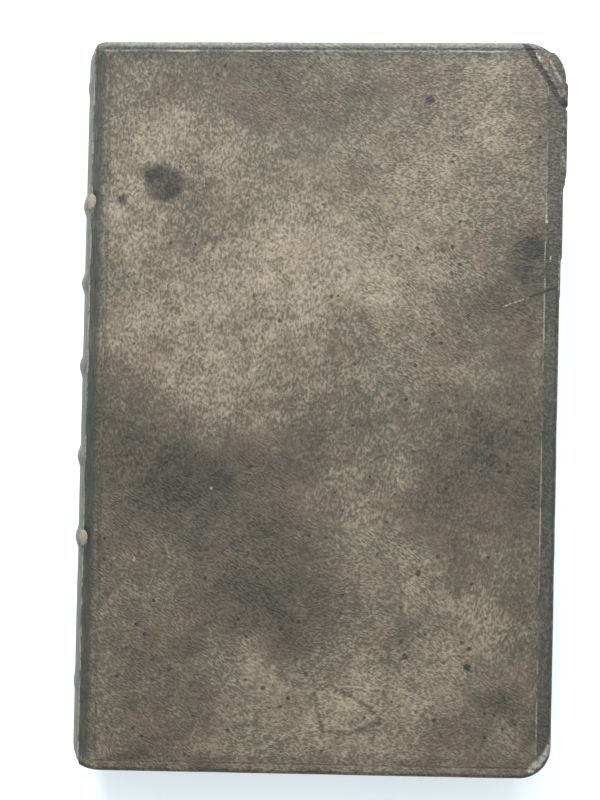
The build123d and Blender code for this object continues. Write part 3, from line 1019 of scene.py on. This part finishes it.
def makeLeaves(name, material):
    shape = leafShape
    low, high = pageLow, pageHigh
    tree = bpy.data.node_groups.new("leaves", "GeometryNodeTree")
    tree.interface.new_socket("Geometry", in_out="OUTPUT", socket_type="NodeSocketGeometry")
    sockets = {
        "Count": ("NodeSocketInt", shape["count"]),
        "Bottom": ("NodeSocketFloat", low * mm),
        "Thickness": ("NodeSocketFloat", (high - low) / shape["count"] * mm),
        "Height": ("NodeSocketFloat", (blockHigh.y - blockLow.y) * mm),
        "Seed": ("NodeSocketInt", 7),
    }
    made = {key: groupInput(tree, key, kind, value) for key, (kind, value) in sockets.items()}
    given = addNode(tree, "NodeGroupInput").outputs
    line = addNode(tree, "GeometryNodeMeshLine")
    setInput(tree, line.inputs["Count"], given["Count"])
    start = addNode(tree, "ShaderNodeCombineXYZ")
    setInput(tree, start.inputs["Z"], fieldMath(tree, "MULTIPLY_ADD", given["Thickness"], 0.5, given["Bottom"]))
    setInput(tree, line.inputs["Start Location"], start.outputs[0])
    offset = addNode(tree, "ShaderNodeCombineXYZ")
    setInput(tree, offset.inputs["Z"], given["Thickness"])
    setInput(tree, line.inputs["Offset"], offset.outputs[0])
    slab = addNode(tree, "GeometryNodeMeshCube")
    slab.inputs["Size"].default_value = (1, 1, 1)
    slab.inputs["Vertices X"].default_value = 12
    slab.inputs["Vertices Y"].default_value = 14
    slab.inputs["Vertices Z"].default_value = 2
    copies = addNode(tree, "GeometryNodeInstanceOnPoints")
    setInput(tree, copies.inputs["Points"], line.outputs[0])
    setInput(tree, copies.inputs["Instance"], slab.outputs["Mesh"])
    numbered = addNode(tree, "GeometryNodeStoreNamedAttribute", data_type="FLOAT", domain="INSTANCE")
    setInput(tree, numbered.inputs["Geometry"], copies.outputs[0])
    numbered.inputs["Name"].default_value = "leaf"
    setInput(tree, numbered.inputs["Value"], addNode(tree, "GeometryNodeInputIndex").outputs[0])
    real = addNode(tree, "GeometryNodeRealizeInstances")
    setInput(tree, real.inputs[0], numbered.outputs[0])

    leaf = addNode(tree, "GeometryNodeInputNamedAttribute", data_type="FLOAT")
    leaf.inputs["Name"].default_value = "leaf"
    leaf = leaf.outputs[0]
    position = addNode(tree, "ShaderNodeSeparateXYZ")
    setInput(tree, position.inputs[0], addNode(tree, "GeometryNodeInputPosition").outputs[0])
    along, across, height = position.outputs
    share = fieldMath(tree, "POWER", fieldMath(tree, "ADD", along, 0.5), 2.4)
    leafZ = fieldMath(tree, "MULTIPLY_ADD", fieldMath(tree, "ADD", leaf, 0.5), given["Thickness"], given["Bottom"])
    flat = fieldMath(tree, "SUBTRACT", height, leafZ)
    fromMiddle = fieldMath(tree, "SUBTRACT", leafZ, (low + high) / 2 * mm)
    portion = fieldMath(tree, "DIVIDE", fromMiddle, (high - low) / 2 * mm)
    square = fieldMath(tree, "MULTIPLY", portion, portion)

    # Each leaf and each section stands a little in or out
    def jitter(identity, amount, seed):
        value = addNode(tree, "FunctionNodeRandomValue", data_type="FLOAT")
        floats = [s for s in value.inputs if s.type == "VALUE" and s.enabled]
        floats[0].default_value = -amount * mm
        floats[1].default_value = 0.0
        setInput(tree, value.inputs["ID"], identity)
        setInput(tree, value.inputs["Seed"], fieldMath(tree, "ADD", given["Seed"], seed))
        return [s for s in value.outputs if s.type == "VALUE" and s.enabled][0]

    section = fieldMath(tree, "FLOOR", fieldMath(tree, "DIVIDE", leaf, shape["sectionLeaves"]))
    foreJitter = fieldMath(tree, "ADD", jitter(leaf, shape["leafJitter"], 1), jitter(section, shape["sectionJitter"], 2))
    endJitter = fieldMath(tree, "ADD", jitter(leaf, shape["leafJitter"], 3), jitter(section, shape["sectionJitter"], 4))
    radius, axisX = spineProfile()
    blockRadius = radius - leatherThick - 0.05
    fan = fieldMath(tree, "MULTIPLY", fieldMath(tree, "MULTIPLY", square, portion), shape["fan"] * mm)
    bentEnd = fieldMath(tree, "ADD", fromMiddle, fan)
    spineEdge = fieldMath(tree, "MULTIPLY", bentEnd, bentEnd)
    spineEdge = fieldMath(tree, "SQRT", fieldMath(tree, "SUBTRACT", (blockRadius * mm) ** 2, spineEdge))
    spineEdge = fieldMath(tree, "SUBTRACT", axisX * mm, spineEdge)
    foreEdge = fieldMath(tree, "MULTIPLY_ADD", fieldMath(tree, "SUBTRACT", 1.0, square), -shape["hollow"] * mm, blockHigh.x * mm)
    foreEdge = fieldMath(tree, "ADD", foreEdge, foreJitter)
    x = fieldMath(tree, "MULTIPLY_ADD", fieldMath(tree, "SUBTRACT", foreEdge, spineEdge), share, spineEdge)
    y = fieldMath(tree, "MULTIPLY", across, fieldMath(tree, "MULTIPLY_ADD", endJitter, 2.0, given["Height"]))
    bend = fieldMath(tree, "DIVIDE", fieldMath(tree, "SUBTRACT", x, spineEdge), -shape["bendReach"] * mm)
    bend = fieldMath(tree, "EXPONENT", bend)
    thin = fieldMath(tree, "MULTIPLY", given["Thickness"], 1 - shape["gap"])
    z = fieldMath(tree, "MULTIPLY_ADD", flat, thin, leafZ)
    z = fieldMath(tree, "MULTIPLY_ADD", bend, fan, z)
    joined = addNode(tree, "ShaderNodeCombineXYZ")
    for socket, value in zip(joined.inputs, (x, y, z)):
        setInput(tree, socket, value)
    moved = addNode(tree, "GeometryNodeSetPosition")
    setInput(tree, moved.inputs["Geometry"], real.outputs[0])
    setInput(tree, moved.inputs["Position"], joined.outputs[0])
    painted = addNode(tree, "GeometryNodeSetMaterial")
    setInput(tree, painted.inputs["Geometry"], moved.outputs[0])
    painted.inputs["Material"].default_value = material
    out = addNode(tree, "NodeGroupOutput")
    setInput(tree, out.inputs[0], painted.outputs[0])

    holder = meshObject(name, [(0, 0, 0)], [], material)
    modifier = holder.modifiers.new("leaves", "NODES")
    modifier.node_group = tree
    for key, (kind, value) in sockets.items():
        modifier[made[key].identifier] = value
    applyModifiers(holder)
    return holder


pageLow, pageHigh = boxOf("back_pastedown")[1].z + 0.1, boxOf("front_pastedown")[0].z - 0.1
leaves = makeLeaves("leaves", leafPaper)
print("leaves made")


# Endbands: turns of thread round a core that follows the round of the spine

endbandShape = {"turns": 46, "thread": 0.30, "inset": 1.15}


def makeEndband(name, end, material):
    shape = endbandShape
    low, high = boxOf(f"{end}_endband")
    tube = (high.y - low.y) / 2
    radius, axisX = spineProfile()
    ring = radius - leatherThick - tube - 0.1
    span = math.asin((pageHigh - pageLow) / 2 / ring)
    tree = bpy.data.node_groups.new(f"endband_{end}", "GeometryNodeTree")
    tree.interface.new_socket("Geometry", in_out="OUTPUT", socket_type="NodeSocketGeometry")
    sockets = {
        "Turns": ("NodeSocketInt", shape["turns"]),
        "Radius": ("NodeSocketFloat", ring * mm),
        "Span": ("NodeSocketFloat", 2 * span),
        "Core": ("NodeSocketFloat", (tube - shape["thread"] / 2) * mm),
        "Thread": ("NodeSocketFloat", shape["thread"] * mm),
    }
    made = {key: groupInput(tree, key, kind, value) for key, (kind, value) in sockets.items()}
    given = addNode(tree, "NodeGroupInput").outputs
    points = addNode(tree, "GeometryNodeMeshLine")
    setInput(tree, points.inputs["Count"], given["Turns"])
    points.inputs["Offset"].default_value = (0, 0, 0)
    index = addNode(tree, "GeometryNodeInputIndex").outputs[0]
    step = mathNode(tree, "DIVIDE", given["Span"], mathNode(tree, "SUBTRACT", given["Turns"], 1.0))
    angle = mathNode(tree, "MULTIPLY_ADD", index, step, mathNode(tree, "MULTIPLY", given["Span"], -0.5))
    where = addNode(tree, "ShaderNodeCombineXYZ")
    setInput(tree, where.inputs["X"], mathNode(tree, "SUBTRACT", axisX * mm,
             mathNode(tree, "MULTIPLY", mathNode(tree, "COSINE", angle), given["Radius"])))
    setInput(tree, where.inputs["Y"], (low.y + high.y) / 2 * mm)
    setInput(tree, where.inputs["Z"], mathNode(tree, "MULTIPLY_ADD", mathNode(tree, "SINE", angle), given["Radius"], middleZ * mm))
    placed = addNode(tree, "GeometryNodeSetPosition")
    setInput(tree, placed.inputs["Geometry"], points.outputs[0])
    setInput(tree, placed.inputs["Position"], where.outputs[0])
    loop = addNode(tree, "GeometryNodeCurvePrimitiveCircle")
    loop.inputs["Resolution"].default_value = 14
    setInput(tree, loop.inputs["Radius"], given["Core"])
    section = addNode(tree, "GeometryNodeCurvePrimitiveCircle")
    section.inputs["Resolution"].default_value = 6
    setInput(tree, section.inputs["Radius"], given["Thread"])
    turn = addNode(tree, "GeometryNodeCurveToMesh")
    setInput(tree, turn.inputs["Curve"], loop.outputs[0])
    setInput(tree, turn.inputs["Profile Curve"], section.outputs[0])
    copies = addNode(tree, "GeometryNodeInstanceOnPoints")
    setInput(tree, copies.inputs["Points"], placed.outputs[0])
    setInput(tree, copies.inputs["Instance"], turn.outputs[0])
    lean = addNode(tree, "ShaderNodeCombineXYZ")
    setInput(tree, lean.inputs["Y"], angle)
    setInput(tree, copies.inputs["Rotation"], lean.outputs[0])
    real = addNode(tree, "GeometryNodeRealizeInstances")
    setInput(tree, real.inputs[0], copies.outputs[0])
    painted = addNode(tree, "GeometryNodeSetMaterial")
    setInput(tree, painted.inputs["Geometry"], real.outputs[0])
    painted.inputs["Material"].default_value = material
    out = addNode(tree, "NodeGroupOutput")
    setInput(tree, out.inputs[0], painted.outputs[0])
    holder = meshObject(name, [(0, 0, 0)], [], material)
    modifier = holder.modifiers.new("turns", "NODES")
    modifier.node_group = tree
    for key, (kind, value) in sockets.items():
        modifier[made[key].identifier] = value
    applyModifiers(holder)
    for polygon in holder.data.polygons:
        polygon.use_smooth = True
    return holder


endbands = {end: makeEndband(f"{end}_endband_thread", end, bandThread) for end in ("head", "tail")}
print("endbands made")


# The frayed cords that show through the worn joint

def makeCordEnds(name, material):
    shape = cordEndShape
    builder = bmesh.new()
    for number, band in enumerate(shape["bands"]):
        made = bmesh.ops.create_icosphere(builder, subdivisions=4, radius=1.0)
        for vertex in made["verts"]:
            spot = vertex.co.copy()
            rough = 1 + 0.16 * noise.noise(spot * 2.2 + Vector((number * 9, 0, 0)))
            vertex.co = Vector((
                (jointX + spot.x * shape["wide"] * rough) * mm,
                (cordPlaces[band] + outOfSquare * jointX + spot.y * shape["long"] * rough) * mm,
                (coverTop - 0.5 + min(0.45, spot.z * shape["high"] * rough)) * mm,
            ))
    mesh = bpy.data.meshes.new(name)
    builder.to_mesh(mesh)
    builder.free()
    mesh.materials.append(material)
    for polygon in mesh.polygons:
        polygon.use_smooth = True
    thing = bpy.data.objects.new(name, mesh)
    bpy.context.scene.collection.objects.link(thing)
    return thing


cordEnds = makeCordEnds("worn_cord_ends", cordFibre)

# Materials of the solids that stay as they are

solidMaterials = {
    "board": boardStock,
    "endpaper": endPaper,
    "cord": cordFibre,
}
slotOf = {entry["node"]: entry["material_slot"] for entry in record["subparts"]}
for node, thing in frame["nodes"].items():
    if slotOf.get(node) in solidMaterials:
        thing.data.materials.clear()
        thing.data.materials.append(solidMaterials[slotOf[node]])

# What rides on what

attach(frontSkin, "front_cover")
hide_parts("front_leather")
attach(backSkin, "back_cover")
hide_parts("back_leather")
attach(spineLeather, "book_block")
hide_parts("spine_leather")
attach(leaves, "book_block")
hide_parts("text_block")
for end, thing in endbands.items():
    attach(thing, "book_block")
    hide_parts(f"{end}_endband")
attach(cordEnds, "book_block")
for strip, bodies, z in ((frontStrip, ("book_block", "front_cover"), coverTop * mm),
                         (backStrip, ("book_block", "back_cover"), 0.0)):
    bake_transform(strip)

# Floor, background and light

stageLook = {
    "floorGlow": (0.37, 0.45, 0.48),
    "floorColour": 0.66,
    "worldColour": (0.86, 0.93, 1.0),
    "worldStrength": 0.42,
}


def makeFloor():
    size = 4000.0
    floor = meshObject("floor", [(-size, -size, -0.05), (size, -size, -0.05), (size, size, -0.05), (-size, size, -0.05)],
                       [(0, 1, 2, 3)], None)
    material = bpy.data.materials.new("floorWhite")
    material.use_nodes = True
    tree = material.node_tree
    tree.nodes.clear()
    out = addNode(tree, "ShaderNodeOutputMaterial")
    diffuse = addNode(tree, "ShaderNodeBsdfDiffuse")
    diffuse.inputs["Color"].default_value = (*([stageLook["floorColour"]] * 3), 1)
    glow = addNode(tree, "ShaderNodeEmission")
    rays = addNode(tree, "ShaderNodeLightPath").outputs
    seenRays = mathNode(tree, "MAXIMUM", rays["Is Camera Ray"],
                        mathNode(tree, "MAXIMUM", rays["Is Glossy Ray"], rays["Is Transmission Ray"]))
    place = addNode(tree, "ShaderNodeTexCoord").outputs["Object"]
    away = stepNode(tree, vectorNode(tree, "LENGTH", place), 0.18, 0.7)
    setInput(tree, glow.inputs["Color"], mixNode(tree, away, stageLook["floorGlow"], (1.0, 1.0, 1.0)))
    setInput(tree, glow.inputs["Strength"], seenRays)
    both = addNode(tree, "ShaderNodeAddShader")
    setInput(tree, both.inputs[0], diffuse.outputs[0])
    setInput(tree, both.inputs[1], glow.outputs[0])
    setInput(tree, out.inputs[0], both.outputs[0])
    floor.data.materials.clear()
    floor.data.materials.append(material)
    return floor


def makeWorld():
    world = bpy.data.worlds.new("world")
    bpy.context.scene.world = world
    world.use_nodes = True
    tree = world.node_tree
    background = tree.nodes["Background"]
    rays = addNode(tree, "ShaderNodeLightPath").outputs
    colour = mixNode(tree, rays["Is Camera Ray"], stageLook["worldColour"], (1.0, 1.0, 1.0))
    setInput(tree, background.inputs["Color"], colour)
    strength = mathNode(tree, "MULTIPLY_ADD", rays["Is Camera Ray"], 1.0 - stageLook["worldStrength"], stageLook["worldStrength"])
    setInput(tree, background.inputs["Strength"], strength)


lamps = [
    # name, place in mm, size in mm, power in watts, colour
    ("window", (-60, 640, 520), (520, 300), 13.0, (0.90, 0.96, 1.0)),
    ("overhead", (60, 120, 1100), (900, 900), 6.0, (1.0, 0.98, 0.95)),
]


def makeLamps():
    for name, place, size, power, colour in lamps:
        data = bpy.data.lights.new(name, "AREA")
        data.shape = "RECTANGLE"
        data.size, data.size_y = size[0] * mm, size[1] * mm
        data.energy = power
        data.color = colour
        lamp = bpy.data.objects.new(name, data)
        bpy.context.scene.collection.objects.link(lamp)
        lamp.location = Vector(place) * mm
        lamp.rotation_euler = (-lamp.location).to_track_quat("-Z", "Y").to_euler()


makeFloor()
makeWorld()
makeLamps()
bpy.context.scene.view_settings.view_transform = "Standard"
print("floor, world and lamps made")
